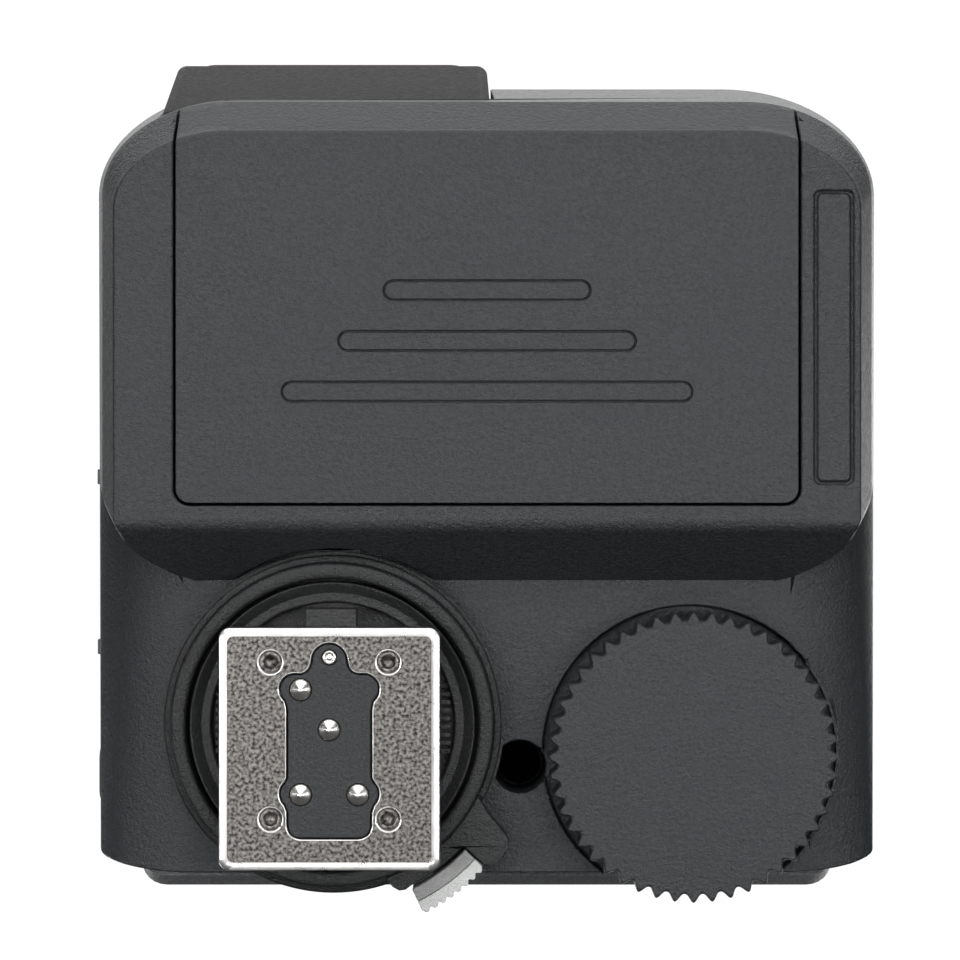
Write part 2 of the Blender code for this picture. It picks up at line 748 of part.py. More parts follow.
def make_lock_pin():
    r = LOCK_PIN_RADIUS
    profile = [(0.0, 6.6), (r, 6.6), (r, 0.15), (r - 0.2, -0.05), (0.0, -0.05)]
    turned("lock_pin", LOCK_PIN_PLACE, profile, "bright pin", 14)


def make_mount_collar():
    """The fixed collar: base flange, dished hub, square neck to the foot and boss to the inside."""
    profile = [
        (0.0, 12.0), (7.5, 12.0), (7.5, 8.2), (COLLAR_RADIUS, 8.2), (COLLAR_RADIUS, 7.5),
        (12.3, 7.5), (12.3, 5.0), (11.4, 5.9), (10.5, 5.9), (10.4, 7.0), (0.0, 7.0),
    ]
    collar = turned("mount_collar", RING_CENTRE, profile, "black plastic", 48)
    join(collar, box("neck_block", (-6.1, 6.1), (-8.8, 9.6), (2.3, 8.0)))
    join(collar, box("neck_tab", (-2.1, 2.1), (8.0, 11.6), (3.2, 8.0)))
    for i, place in enumerate(CONTACT_PLACES):
        carve(collar, cylinder(f"pin_well_{i}", place, 1.5, (-1.0, 7.0), sides=12))
    carve(collar, cylinder("lock_well", LOCK_PIN_PLACE, 0.95, (-1.0, 9.0), sides=12))
    for name, x, y in foot_screw_places():
        carve(collar, cylinder(name + "_well", (x, y), 0.8, (-1.0, 8.0), sides=10))
    return collar


def lever_outline():
    """The lock lever's flat arm, round the ring: a blunt thumb tab, a seat for the pad, a horn."""
    points = [polar(12.9, 20.0), polar(14.1, 27.2), polar(17.5, 32.1), polar(18.1, 33.4)]
    points += [polar(18.45, 35.2), polar(18.5, 38.0), polar(18.5, 41.0), polar(18.1, 42.3)]
    points += [polar(15.3, 42.7), polar(15.3, 48.0), polar(15.3, 53.0), polar(15.3, 58.0)]
    points += [polar(15.3, 63.0), polar(15.5, 66.5), polar(15.0, 69.0), polar(12.9, 72.0)]
    points += [polar(12.9, 72.0 - i * 8.7) for i in range(1, 6)]
    return points


def make_lock_ring():
    face = RING_OUTER - 0.65
    profile = [
        (RING_INNER, RING_HIGH), (RING_OUTER, RING_HIGH), (RING_OUTER, RING_LOW + 1.5),
        (face, RING_LOW + 1.3), (face, RING_LOW + 0.3), (face - 0.3, RING_LOW),
        (RING_INNER + 0.25, RING_LOW), (RING_INNER, RING_LOW + 0.25),
    ]
    ring = turned("lock_ring", RING_CENTRE, profile, "black plastic", 56, closed=True)
    return join(ring, plate("lever_arm", [lever_outline()], (RING_LOW + 0.5, RING_HIGH - 0.2)))


def make_lever_grip_pad():
    """The pale ribbed pad on the lever's rim."""
    start, end, ribs = 43.2, 64.0, 9
    outer = []
    for i in range(ribs * 2 + 1):
        degrees = start + (end - start) * i / (ribs * 2)
        outer.append(polar(17.9 if i % 2 else 17.55, degrees))
    inner = [polar(15.6, start + (end - start) * i / 6) for i in range(6, -1, -1)]
    pad = plate("lever_grip_pad", [outer + inner], (RING_LOW - 0.1, RING_HIGH - 0.1), "light grey plastic")
    set_origin(pad, (*RING_CENTRE, 0.0))


# ---------------------------------------------------------------- thumb wheel


def make_thumb_wheel():
    wheel = plate("thumb_wheel", [wheel_outline()], (WHEEL_LOW, WHEEL_HIGH), "charcoal plastic")
    wheel.location = (WHEEL_CENTRE[0] * MM, WHEEL_CENTRE[1] * MM, 0.0)
    carve(wheel, cylinder("wheel_bore", WHEEL_CENTRE, SHAFT_RADIUS + GAP, (5.2, 12.0)))
    profile = [(0.0, 14.6), (SHAFT_RADIUS, 14.6), (SHAFT_RADIUS, 5.5), (0.0, 5.5)]
    turned("wheel_shaft", WHEEL_CENTRE, profile, "steel", 32)
    x, y = WHEEL_CENTRE
    body = box("encoder_body", (x - 5.8, x + 5.8), (y - 5.8, y + 5.8), (10.6, 15.0), "black plastic")
    carve(body, cylinder("encoder_bore", WHEEL_CENTRE, SHAFT_RADIUS + 0.2, (8.0, 14.75)))


# ---------------------------------------------------------------- battery compartment


CELL_YS = (29.25, 43.25)
CELL_Z = 12.0
CELL_RADIUS = 6.95
TRAY_X = (-41.4, 14.9)


def make_battery_tray():
    tray = box("battery_tray", TRAY_X, (20.9, 51.2), (6.4, 20.6), "black plastic")
    inner_x = (TRAY_X[0] + 1.2, TRAY_X[1] - 1.2)
    carve(tray, box("tray_hollow", inner_x, (22.1, 50.4), (0.0, 19.4)))


def make_cells():
    for i, (y, sign) in enumerate(zip(CELL_YS, (1, -1))):
        middle = (TRAY_X[0] + TRAY_X[1]) / 2 + sign * 0.85
        frame = Matrix.Translation((middle, y, CELL_Z)) @ Matrix.Rotation(math.radians(90 * sign), 4, "Y")
        profile = [(0.0, 25.0), (2.6, 25.0), (2.6, 23.9), (CELL_RADIUS - 0.5, 23.9)]
        profile += [(CELL_RADIUS, 23.4), (CELL_RADIUS, -24.5), (CELL_RADIUS - 0.5, -25.0), (0.0, -25.0)]
        cell = turned(f"battery_cell_{i + 1}", (0, 0), profile, "cell wrap", 24)
        cell.matrix_world = Matrix.Translation(frame.to_translation() * MM) @ frame.to_3x3().to_4x4()


def make_battery_contacts():
    left, right = TRAY_X[0] + 1.35, TRAY_X[1] - 1.35
    z = (CELL_Z - 4.5, CELL_Z + 4.5)
    low, high = CELL_YS
    box("battery_bridge", (left, left + 0.4), (low - 4.5, high + 4.5), z, "nickel plate")
    box("battery_terminal_1", (right - 0.4, right), (low - 4.5, low + 4.5), z, "nickel plate")
    box("battery_terminal_2", (right - 0.4, right), (high - 4.5, high + 4.5), z, "nickel plate")
    wire, length = 0.3, 0.75
    first = left + 0.4 + wire + 0.1
    last = right - 0.4 - wire - 0.1
    coil("battery_spring_1", (low, CELL_Z), 3.0, wire, (first, first + length), 1, "steel")
    coil("battery_spring_2", (high, CELL_Z), 3.0, wire, (last - length, last), 1, "steel")


# ---------------------------------------------------------------- display and keys


def make_display():
    frame = slope_frame()
    outer = rounded_rectangle((-PANEL_HALF, PANEL_HALF), PANEL_V, PANEL_CORNER, 6)
    glass = rounded_rectangle(LCD_U, LCD_V, 1.2, 4)
    panel = plate("display_panel", [outer, glass], (PANEL_LOW, PANEL_HIGH), "gloss black", frame)
    for name, outline, _ in key_places(0.25):
        carve(panel, plate(name + "_hole", [outline], (-1.0, 4.0), None, frame))
    clear = rounded_rectangle(
        (LCD_U[0] + 0.25, LCD_U[1] - 0.25), (LCD_V[0] + 0.25, LCD_V[1] - 0.25), 1.0, 4
    )
    plate("lcd_lens", [clear], (1.4, 2.4), "display glass", frame)
    box("lcd_module", (-20.0, 28.0), (16.7, 45.4), (-1.7, 0.2), "display glass", frame)
    # both are notched at the right to clear the sync jack
    board = [(-29.2, 2.4), (25.0, 2.4), (25.0, 15.0), (29.2, 15.0), (29.2, 46.4), (-29.2, 46.4)]
    plate("keypad_mat", [board], (-2.7, -2.1), "key rubber", frame)
    plate("main_board", [board], (-4.6, -3.0), "circuit board", frame)


def key_places(grow):
    """(name, outline, finish) of every key on the sloping panel."""
    keys = []
    for i in range(5):
        v = 41.5 - i * 7.4
        x = (-28.2 - grow, -22.2 + grow)
        outline = rounded_rectangle(x, (v - 2.1 - grow, v + 2.1 + grow), 1.1, 3)
        keys.append((f"group_button_{i + 1}", outline, "key rubber"))
    for i in range(4):
        u = -12.6 + i * 11.4
        x = (u - 3.9 - grow, u + 3.9 + grow)
        outline = rounded_rectangle(x, (10.6 - grow, 13.8 + grow), 1.1, 3)
        keys.append((f"soft_key_{i + 1}", outline, "key rubber"))
    menu = rounded_rectangle((-8.0 - grow, 2.0 + grow), (4.0 - grow, 7.6 + grow), 1.3, 3)
    keys.append(("menu_key", menu, "key rubber"))
    keys.append(("test_button", arc((21.6, 5.8), 2.4 + grow, 0, 345, 23), "key rubber"))
    return keys


def make_keys():
    frame = slope_frame()
    for name, outline, finish in key_places(0.0):
        cap = plate(name, [outline], (-1.5, 3.3), finish, frame)
        us = [p[0] for p in outline]
        vs = [p[1] for p in outline]
        flange = rounded_rectangle(
            (min(us) - 0.6, max(us) + 0.6), (min(vs) - 0.6, max(vs) + 0.6), 1.0, 3
        )
        join(cap, plate(name + "_flange", [flange], (-1.45, -0.4), None, frame))


# ---------------------------------------------------------------- top shoe


def make_shoe():
    x0, x1 = SHOE_X - SHOE_SLOT_HALF, SHOE_X + SHOE_SLOT_HALF
    wall = 1.1
    low = TOP_Z + GAP
    slot_top = SHOE_FLOOR_Z + SHOE_SLOT_HEIGHT
    rails = box("shoe_rails", (x0 - wall, x1 + wall), SHOE_Y, (low, slot_top + SHOE_LIP), "nickel plate")
    inside = (low + 0.8, slot_top)
    carve(rails, box("shoe_slot", (x0, x1), (SHOE_Y[0] - 2, SHOE_Y[1] + 2), inside))
    mouth = (SHOE_X - SHOE_MOUTH_HALF, SHOE_X + SHOE_MOUTH_HALF)
    carve(rails, box("shoe_mouth", mouth, (SHOE_Y[0] - 2, SHOE_Y[1] + 2), (slot_top - 1, 60.0)))
    plate_z = (low + 0.8 + 0.2, SHOE_FLOOR_Z)
    base = box("shoe_base", (x0 + 0.3, x1 - 0.3), (SHOE_Y[0] + 0.4, SHOE_Y[1]), plate_z, "black plastic")
    middle = sum(SHOE_Y) / 2
    for i, (x, y) in enumerate(CONTACT_PLACES):
        place = (SHOE_X + x, middle + y - CONTACT_PLACES[0][1])
        carve(base, cylinder(f"shoe_contact_bore_{i}", place, 1.3, (47.0, 50.0), sides=24))
        pad = (low + 0.8 + 0.15, SHOE_FLOOR_Z + 0.05)
        cylinder(f"shoe_contact_{i + 1}", place, 1.0, pad, "bright pin", sides=24)


# ---------------------------------------------------------------- side controls and screw


def side_wall_x(y):
    """Where the body's right side stands at the parting plane."""
    along = (y - BODY_REAR) / (BODY_FRONT - 9.3 - BODY_REAR)
    return BODY_X + PARTING_REAR_HALF + (PARTING_FRONT_HALF - PARTING_REAR_HALF) * along


def make_switch(name, y):
    z, wall = switch_height(y), side_wall_x(y)
    stem_x = (wall - 2.4, wall + 0.55)
    stem = box(name + "_knob", stem_x, (y - 0.7, y + 0.7), (z - 0.8, z + 0.8), "light grey plastic")
    flange_x = (wall - 3.1, wall - 2.25)
    join(stem, box(name + "_flange", flange_x, (y - 1.6, y + 1.9), (z - 1.6, z + 1.6)))
    body_x = (wall - 5.6, wall - 3.4)
    box(name + "_body", body_x, (y - 2.4, y + 4.6), (z - 1.9, z + 1.9), "black plastic")


def make_port():
    frame = side_frame(PORT_Y, PORT_Z, 0.0)
    outline = rounded_rectangle((-2.3, 2.3), (-2.3, 2.3), 1.0, 4)
    cover = plate("port_cover", [outline], PORT_COVER_X, "cover rubber", frame)
    set_origin(cover, (PORT_COVER_X[1] - 0.4, PORT_Y - 2.1, PORT_Z))
    jack = cylinder("sync_jack", (0, 0), 2.2, (12.4, PORT_COVER_X[0] - GAP), "black plastic", frame, 24)
    carve(jack, cylinder("jack_bore", (0, 0), 1.3, (13.5, 30.0), None, frame, 24))


def make_housing_screw():
    tip, shank, head = 17.2, 0.9, 1.9
    profile = [(0.0, tip), (shank, tip), (shank, SCREW_SEAT_Z), (head, SCREW_SEAT_Z)]
    profile += [(head, SCREW_HEAD_Z), (0.0, SCREW_HEAD_Z)]
    screw = turned("housing_screw", SCREW_WELL, profile, "black steel", 24)
    for turn in (0, 90):
        place = Matrix.Translation((*SCREW_WELL, SCREW_HEAD_Z))
        spin = place @ Matrix.Rotation(math.radians(turn), 4, "Z")
        slot = box(f"housing_slot_{turn}", (-1.1, 1.1), (-0.25, 0.25), (-0.5, 0.7), None, spin)
        carve(screw, slot)


def build():
    make_bottom_housing()
    make_top_housing()
    make_battery_door()
    make_af_housing()
    make_af_lamp()
    make_foot_plate()
    make_foot_screws()
    make_foot_insulator()
    make_contact_pins()
    make_lock_pin()
    make_mount_collar()
    make_lock_ring()
    make_lever_grip_pad()
    make_thumb_wheel()
    make_battery_tray()
    make_cells()
    make_battery_contacts()
    make_display()
    make_keys()
    make_shoe()
    for name, y in zip(("power_switch", "af_switch"), SWITCH_YS):
        make_switch(name, y)
    make_port()
    make_housing_screw()


build()
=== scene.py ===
import json
import math

import bmesh
import bpy
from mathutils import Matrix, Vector


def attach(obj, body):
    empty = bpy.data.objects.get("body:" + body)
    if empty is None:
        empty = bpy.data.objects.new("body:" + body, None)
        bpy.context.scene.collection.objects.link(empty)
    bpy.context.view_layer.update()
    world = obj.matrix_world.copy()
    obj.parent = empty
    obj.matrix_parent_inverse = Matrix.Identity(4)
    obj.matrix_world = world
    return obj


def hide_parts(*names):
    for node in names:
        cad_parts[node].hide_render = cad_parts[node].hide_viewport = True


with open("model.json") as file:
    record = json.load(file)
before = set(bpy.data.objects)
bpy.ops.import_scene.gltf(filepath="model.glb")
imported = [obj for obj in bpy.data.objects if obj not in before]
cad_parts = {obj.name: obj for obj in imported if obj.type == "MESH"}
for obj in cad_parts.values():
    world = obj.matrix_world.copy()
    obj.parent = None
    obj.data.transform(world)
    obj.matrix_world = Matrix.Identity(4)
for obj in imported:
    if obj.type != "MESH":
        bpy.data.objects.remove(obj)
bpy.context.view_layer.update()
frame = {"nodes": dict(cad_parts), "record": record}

MM = 0.001
NODES = frame["nodes"]


# ---------------------------------------------------------------- camera, lights and floor


def make_camera():
    """Looks straight up at the underside, the way the device is shown."""
    data = bpy.data.cameras.new("camera")
    data.lens = 108.2
    data.sensor_width = 36.0
    data.clip_start = 0.01
    camera = bpy.data.objects.new("camera", data)
    camera.location = (-12.65 * MM, 22.6 * MM, -242.0 * MM)
    camera.rotation_euler = (0.0, math.pi, 0.0)
    bpy.context.scene.collection.objects.link(camera)
    bpy.context.scene.camera = camera


def area_light(name, place, target, size, power):
    data = bpy.data.lights.new(name, "AREA")
    data.shape = "RECTANGLE"
    data.size, data.size_y = size
    data.energy = power
    light = bpy.data.objects.new(name, data)
    light.location = place
    aim = Vector(target) - Vector(place)
    light.rotation_euler = aim.to_track_quat("-Z", "Y").to_euler()
    bpy.context.scene.collection.objects.link(light)
    return light


def make_lights():
    middle = (-0.013, 0.022, 0.01)
    area_light("soft_box", (-0.013, 0.23, -0.555), middle, (0.6, 0.36), 0.62)
    area_light("front_key", (-0.013, 0.52, -0.40), middle, (0.8, 0.25), 2.3)
    area_light("right_strip", (0.36, 0.03, -0.50), middle, (0.06, 0.5), 1.3)
    area_light("left_strip", (-0.386, 0.03, -0.50), middle, (0.06, 0.5), 1.3)
    area_light("rear_strip", (-0.013, -0.25, -0.54), middle, (0.5, 0.03), 0.45)
    area_light("top_soft", (-0.3, -0.2, 0.80), middle, (0.6, 0.5), 2.0)
    area_light("top_rim", (0.5, -0.35, 0.50), middle, (0.3, 0.3), 1.0)


def camera_switch(nodes, links, unseen, seen, output):
    """One shader for what the camera sees, and another for the light on the object."""
    ray = nodes.new("ShaderNodeLightPath")
    mix = nodes.new("ShaderNodeMixShader")
    links.new(ray.outputs["Is Camera Ray"], mix.inputs["Fac"])
    links.new(unseen, mix.inputs[1])
    links.new(seen, mix.inputs[2])
    links.new(mix.outputs["Shader"], output.inputs["Surface"])


def make_world():
    """A white backdrop behind and in front of the object, and little light elsewhere."""
    world = bpy.data.worlds.new("studio")
    world.use_nodes = True
    bpy.context.scene.world = world
    nodes, links = world.node_tree.nodes, world.node_tree.links
    nodes.clear()
    output = nodes.new("ShaderNodeOutputWorld")
    seen = nodes.new("ShaderNodeBackground")
    seen.inputs["Color"].default_value = (1.0, 1.0, 1.0, 1.0)
    seen.inputs["Strength"].default_value = 1.05
    fill = nodes.new("ShaderNodeBackground")
    lean = nodes.new("ShaderNodeVectorMath")
    lean.operation = "DOT_PRODUCT"
    lean.inputs[1].default_value = (0.0, 0.45, 0.3)
    links.new(nodes.new("ShaderNodeTexCoord").outputs["Generated"], lean.inputs[0])
    sideways = nodes.new("ShaderNodeVectorMath")
    sideways.operation = "DOT_PRODUCT"
    sideways.inputs[1].default_value = (1.0, 0.0, 0.0)
    links.new(lean.inputs[0].links[0].from_socket, sideways.inputs[0])
    squared = nodes.new("ShaderNodeMath")
    squared.operation = "MULTIPLY"
    links.new(sideways.outputs["Value"], squared.inputs[0])
    links.new(sideways.outputs["Value"], squared.inputs[1])
    dimmed = nodes.new("ShaderNodeMath")
    dimmed.operation = "MULTIPLY_ADD"
    dimmed.inputs[1].default_value = -0.8
    links.new(squared.outputs["Value"], dimmed.inputs[0])
    links.new(lean.outputs["Value"], dimmed.inputs[2])
    centred = nodes.new("ShaderNodeMath")
    centred.inputs[1].default_value = 0.5
    links.new(dimmed.outputs["Value"], centred.inputs[0])
    levels = [(0.0, 0.03), (0.5, 0.05), (0.68, 0.6), (0.85, 1.0)]
    links.new(ramp(world.node_tree, centred.outputs["Value"], levels), fill.inputs["Color"])
    fill.inputs["Strength"].default_value = 1.25
    camera_switch(nodes, links, fill.outputs["Background"], seen.outputs["Background"], output)
    bpy.context.scene.view_settings.view_transform = "Standard"


def make_floor():
    """A pale floor, low enough to leave the view from below clear."""
    bm = bmesh.new()
    bmesh.ops.create_grid(bm, x_segments=1, y_segments=1, size=2.5)
    mesh = bpy.data.meshes.new("floor")
    bm.to_mesh(mesh)
    bm.free()
    floor = bpy.data.objects.new("floor", mesh)
    floor.location = (0.0, 0.0, -0.65)
    bpy.context.scene.collection.objects.link(floor)
    material, tree, shader = new_material("floor_paint")
    shader.inputs["Base Color"].default_value = (0.12, 0.12, 0.12, 1.0)
    shader.inputs["Roughness"].default_value = 0.95
    pale = tree.nodes.new("ShaderNodeEmission")
    pale.inputs["Color"].default_value = (0.93, 0.93, 0.93, 1.0)
    output = tree.nodes["Material Output"]
    camera_switch(tree.nodes, tree.links, shader.outputs["BSDF"], pale.outputs["Emission"], output)
    mesh.materials.append(material)


# ---------------------------------------------------------------- materials


def new_material(name):
    material = bpy.data.materials.new(name)
    material.use_nodes = True
    tree = material.node_tree
    return material, tree, tree.nodes["Principled BSDF"]


def position(tree):
    """Object coordinates, which are metres in the frame."""
    return tree.nodes.new("ShaderNodeTexCoord").outputs["Object"]


def noise(tree, scale, detail=2.0, roughness=0.5):
    node = tree.nodes.new("ShaderNodeTexNoise")
    node.inputs["Scale"].default_value = scale
    node.inputs["Detail"].default_value = detail
    node.inputs["Roughness"].default_value = roughness
    tree.links.new(position(tree), node.inputs["Vector"])
    return node.outputs["Fac"]


def ramp(tree, source, stops):
    """stops are (place, colour or grey level)."""
    node = tree.nodes.new("ShaderNodeValToRGB")
    elements = node.color_ramp.elements
    while len(elements) < len(stops):
        elements.new(0.5)
    for element, (place, value) in zip(elements, stops):
        element.position = place
        colour = value if isinstance(value, tuple) else (value, value, value)
        element.color = (*colour, 1.0)
    tree.links.new(source, node.inputs["Fac"])
    return node.outputs["Color"]


def bump(tree, shader, height, strength, distance):
    node = tree.nodes.new("ShaderNodeBump")
    node.inputs["Strength"].default_value = strength
    node.inputs["Distance"].default_value = distance
    tree.links.new(height, node.inputs["Height"])
    tree.links.new(node.outputs["Normal"], shader.inputs["Normal"])


def add(tree, a, b):
    node = tree.nodes.new("ShaderNodeMath")
    node.operation = "ADD"
    tree.links.new(a, node.inputs[0])
    tree.links.new(b, node.inputs[1])
    return node.outputs["Value"]


def moulded(name, colour, roughness, grain=7000.0, depth=0.00009, strength=1.0, spread=0.45):
    """Moulded plastic or rubber with a fine spark-eroded grain and slight mottling."""
    material, tree, shader = new_material(name)
    tint = noise(tree, grain * 0.55, 3.0, 0.65)
    dark = tuple(c * (1 - spread) for c in colour)
    light = tuple(c * (1 + spread) for c in colour)
    tree.links.new(ramp(tree, tint, [(0.3, dark), (0.7, light)]), shader.inputs["Base Color"])
    gloss = noise(tree, grain * 0.3, 2.0)
    levels = [(0.3, roughness - 0.05), (0.7, roughness + 0.05)]
    tree.links.new(ramp(tree, gloss, levels), shader.inputs["Roughness"])
    height = add(tree, noise(tree, grain, 2.0, 0.6), noise(tree, grain * 0.4, 2.0, 0.5))
    bump(tree, shader, height, strength, depth)
    return material


def metal(name, colour, roughness, grain=9000.0, strength=0.15, contrast=0.05):
    material, tree, shader = new_material(name)
    shader.inputs["Metallic"].default_value = 1.0
    shade = noise(tree, grain * 0.5, 3.0)
    low = tuple(c * (1 - contrast) for c in colour)
    high = tuple(min(1.0, c * (1 + contrast)) for c in colour)
    tree.links.new(ramp(tree, shade, [(0.35, low), (0.65, high)]), shader.inputs["Base Color"])
    gloss = noise(tree, grain * 0.2, 2.0)
    levels = [(0.3, max(0.02, roughness - 0.04)), (0.7, roughness + 0.04)]
    tree.links.new(ramp(tree, gloss, levels), shader.inputs["Roughness"])
    bump(tree, shader, noise(tree, grain, 2.0), strength, 0.00001)
    return material


MATERIALS = {
    "charcoal_plastic": moulded("charcoal_plastic", (0.0245, 0.0275, 0.0305), 0.34),
    "black_plastic": moulded("black_plastic", (0.020, 0.021, 0.022), 0.45),
    "gloss_black": moulded("gloss_black", (0.010, 0.010, 0.011), 0.16, 9000.0, 0.000004, 0.1),
    "light_grey_plastic": moulded("light_grey_plastic", (0.62, 0.63, 0.62), 0.45, spread=0.06),
    "switch_plastic": moulded("switch_plastic", (0.12, 0.125, 0.125), 0.4, spread=0.1),
    "nickel_plate": metal("nickel_plate", (0.21, 0.20, 0.188), 0.42, 6800.0, 0.5, 0.8),
    "shoe_metal": moulded("shoe_metal", (0.016, 0.016, 0.017), 0.34),
    "contact_strip": metal("contact_strip", (0.76, 0.75, 0.72), 0.3),
    "steel": metal("steel", (0.56, 0.56, 0.57), 0.35),
    "bright_pin": metal("bright_pin", (0.80, 0.78, 0.74), 0.3),
    "key_rubber": moulded("key_rubber", (0.055, 0.057, 0.06), 0.6),
    "keypad_rubber": moulded("keypad_rubber", (0.18, 0.18, 0.18), 0.7),
    "cover_rubber": moulded("cover_rubber", (0.016, 0.016, 0.017), 0.7),
    "circuit_board": moulded("circuit_board", (0.012, 0.08, 0.035), 0.4),
    "lens_glass": moulded("lens_glass", (0.030, 0.034, 0.032), 0.08, 9000.0, 0.000002, 0.05),
    "display_module": moulded("display_module", (0.30, 0.34, 0.28), 0.3),
    "lamp_window": moulded("lamp_window", (0.035, 0.008, 0.008), 0.1, 9000.0, 0.000002, 0.05),
    "lamp": moulded("lamp", (0.5, 0.03, 0.02), 0.2),
    "black_steel": metal("black_steel", (0.003, 0.003, 0.003), 0.75),
    "cell_wrap": moulded("cell_wrap", (0.05, 0.06, 0.10), 0.3),
}


# ---------------------------------------------------------------- outlines, in millimetres


def arc(centre, radii, start, end, steps):
    """Points from angle start to end, in degrees, on a circle or an ellipse."""
    rx, ry = radii if isinstance(radii, tuple) else (radii, radii)
    points = []
    for i in range(steps + 1):
        a = math.radians(start + (end - start) * i / steps)
        points.append((centre[0] + rx * math.cos(a), centre[1] + ry * math.sin(a)))
    return points


def rounded_rectangle(x, y, radius, steps=8):
    (x0, x1), (y0, y1) = x, y
    corners = [
        ((x1 - radius, y1 - radius), 0),
        ((x0 + radius, y1 - radius), 90),
        ((x0 + radius, y0 + radius), 180),
        ((x1 - radius, y0 + radius), 270),
    ]
    points = []
    for centre, start in corners:
        points += arc(centre, radius, start, start + 90, steps)
    return points


def insulator_outline(inset):
    """The contact insert: a round nose for the lock pin and four rounded lobes."""
    waist = 3.56 - inset
    nose = 1.5 - inset
    lobe = 1.3 - inset
    half = arc((0.0, 7.4), nose, 90, 0, 12)
    half += arc((2.55, 7.33), 1.0 + inset, 190, 265, 8)
    half += arc((2.9, 5.05), lobe, 90, -50, 14)
    half += [(waist, 3.3), (waist, -2.4)]
    half += arc((2.92, -3.75), lobe - 0.03, 48, -48, 10)
    half += [(waist, -5.3)]
    half += arc((2.42, -6.4), 1.12 - inset, 0, -90, 10)
    left = [(-x, y) for x, y in reversed(half[1:])]
    return half + left


def polar(radius, degrees):
    """A point round the lock ring: degrees run from the wheel's side towards the user."""
    a = math.radians(180 + degrees)
    return (RING_CENTRE[0] + radius * math.cos(a), RING_CENTRE[1] + radius * math.sin(a))


# ---------------------------------------------------------------- solids, in millimetres


def finish_bmesh(bm, name):
    """Faces a bmesh outwards and makes it an object, in metres."""
    bmesh.ops.scale(bm, vec=(MM, MM, MM), verts=bm.verts)
    bmesh.ops.recalc_face_normals(bm, faces=bm.faces)
    mesh = bpy.data.meshes.new(name)
    bm.to_mesh(mesh)
    bm.free()
    obj = bpy.data.objects.new(name, mesh)
    bpy.context.scene.collection.objects.link(obj)
    return obj


def between(low, high, share):
    """A loop part of the way from one loop to the next."""
    return [tuple(a + (b - a) * share for a, b in zip(p, q)) for p, q in zip(low, high)]


def loft(name, loops, cuts=1):
    """Skins a row of loops with equal point counts in triangles and closes both ends."""
    rows = []
    for low, high in zip(loops, loops[1:]):
        rows += [between(low, high, i / cuts) for i in range(cuts)]
    loops = rows + [loops[-1]]
    bm = bmesh.new()
    rings = [[bm.verts.new(p) for p in loop] for loop in loops]
    count = len(rings[0])
    for low, high in zip(rings, rings[1:]):
        for i in range(count):
            j = (i + 1) % count
            bm.faces.new((low[i], low[j], high[j]))
            bm.faces.new((low[i], high[j], high[i]))
    bm.faces.new(rings[0])
    bm.faces.new(rings[-1])
    return finish_bmesh(bm, name)


def box(name, x, y, z):
    loop = [(x[0], y[0]), (x[1], y[0]), (x[1], y[1]), (x[0], y[1])]
    return loft(name, [[(px, py, level) for px, py in loop] for level in z])


def cone(name, centre, radii, z, sides=48):
    loops = []
    for radius, level in zip(radii, z):
        circle = arc(centre, radius, 0, 360 - 360 / sides, sides - 1)
        loops.append([(x, y, level) for x, y in circle])
    return loft(name, loops)


def cylinder(name, centre, radius, z, sides=48):
    return cone(name, centre, (radius, radius), z, sides)


def plate(name, outlines, z):
    """A flat outline, with any holes, between two heights."""
    curve = bpy.data.curves.new(name, "CURVE")
    curve.dimensions = "2D"
    curve.fill_mode = "BOTH"
    curve.extrude = (z[1] - z[0]) / 2
    for outline in outlines:
        spline = curve.splines.new("POLY")
        spline.points.add(len(outline) - 1)
        for point, (x, y) in zip(spline.points, outline):
            point.co = (x, y, 0.0, 1.0)
        spline.use_cyclic_u = True
    guide = bpy.data.objects.new(name + "_guide", curve)
    bpy.context.scene.collection.objects.link(guide)
    evaluated = guide.evaluated_get(bpy.context.evaluated_depsgraph_get())
    mesh = bpy.data.meshes.new_from_object(evaluated)
    bpy.data.objects.remove(guide, do_unlink=True)
    bm = bmesh.new()
    bm.from_mesh(mesh)
    bpy.data.meshes.remove(mesh)
    bmesh.ops.remove_doubles(bm, verts=bm.verts, dist=0.001)
    bmesh.ops.translate(bm, vec=(0, 0, (z[0] + z[1]) / 2), verts=bm.verts)
    return finish_bmesh(bm, name)


def turned(name, centre, profile, steps=64, closed=False):
    """A profile of (radius, height) turned about a vertical axis."""
    bm = bmesh.new()
    rings = []
    for radius, z in profile:
        if radius == 0.0:
            rings.append([bm.verts.new((centre[0], centre[1], z))])
            continue
        circle = arc(centre, radius, 0, 360 - 360 / steps, steps - 1)
        rings.append([bm.verts.new((x, y, z)) for x, y in circle])
    pairs = list(zip(rings, rings[1:]))
    if closed:
        pairs.append((rings[-1], rings[0]))
    for low, high in pairs:
        for i in range(steps):
            j = (i + 1) % steps
            corners = [low[i % len(low)], low[j % len(low)]]
            corners += [high[j % len(high)], high[i % len(high)]]
            unique = list(dict.fromkeys(corners))
            bm.faces.new(unique)
    return finish_bmesh(bm, name)


def carve(target, cutter, operation="DIFFERENCE"):
    """Cuts, joins or intersects two solids and removes the cutter."""
    modifier = target.modifiers.new("Cut", "BOOLEAN")
    modifier.object = cutter
    modifier.operation = operation
    evaluated = target.evaluated_get(bpy.context.evaluated_depsgraph_get())
    mesh = bpy.data.meshes.new_from_object(evaluated)
    target.modifiers.clear()
    spent = target.data
    target.data = mesh
    bpy.data.meshes.remove(spent)
    bpy.data.objects.remove(cutter, do_unlink=True)
    return target


def join(target, other):
    return carve(target, other, "UNION")


# ---------------------------------------------------------------- finishing the pieces


